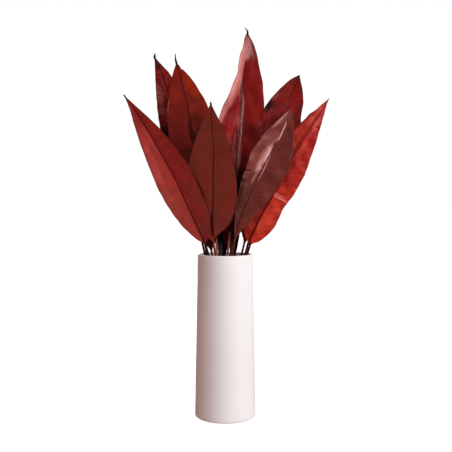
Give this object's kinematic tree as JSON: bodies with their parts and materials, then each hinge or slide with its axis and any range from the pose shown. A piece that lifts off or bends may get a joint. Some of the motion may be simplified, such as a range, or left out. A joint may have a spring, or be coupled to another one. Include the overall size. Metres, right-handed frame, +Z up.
{
  "type": "vase of preserved leaves",
  "caption": "Tall tapering ceramic vase holding a loose fan of long, pointed, preserved red leaves on thin stalks.",
  "frame": {"origin": "centre of the vase's flat underside", "axes": "+Z up along the vase's axis, -Y towards the front, +X to the right seen from the front"},
  "size_m": [0.3653, 0.2882, 0.7383],
  "materials": {
    "ceramic": "matte",
    "leaf_far_left": "satin",
    "leaf_left_back": "satin",
    "leaf_left_middle": "satin",
    "leaf_front": "satin",
    "leaf_tall": "satin",
    "leaf_front_right": "satin",
    "leaf_right_back": "satin",
    "leaf_far_right": "satin",
    "leaf_behind_left": "satin",
    "leaf_behind_middle_left": "satin",
    "leaf_behind_centre": "satin",
    "leaf_behind_middle_right": "satin",
    "leaf_behind_right": "satin"
  },
  "bodies": {
    "root": {"vase": "ceramic", "leaf_far_left": "leaf_far_left", "leaf_left_back": "leaf_left_back", "leaf_left_middle": "leaf_left_middle", "leaf_front": "leaf_front", "leaf_tall": "leaf_tall", "leaf_front_right": "leaf_front_right", "leaf_right_back": "leaf_right_back", "leaf_far_right": "leaf_far_right", "leaf_behind_left": "leaf_behind_left", "leaf_behind_middle_left": "leaf_behind_middle_left", "leaf_behind_centre": "leaf_behind_centre", "leaf_behind_middle_right": "leaf_behind_middle_right", "leaf_behind_right": "leaf_behind_right"}
  },
  "joints": []
}
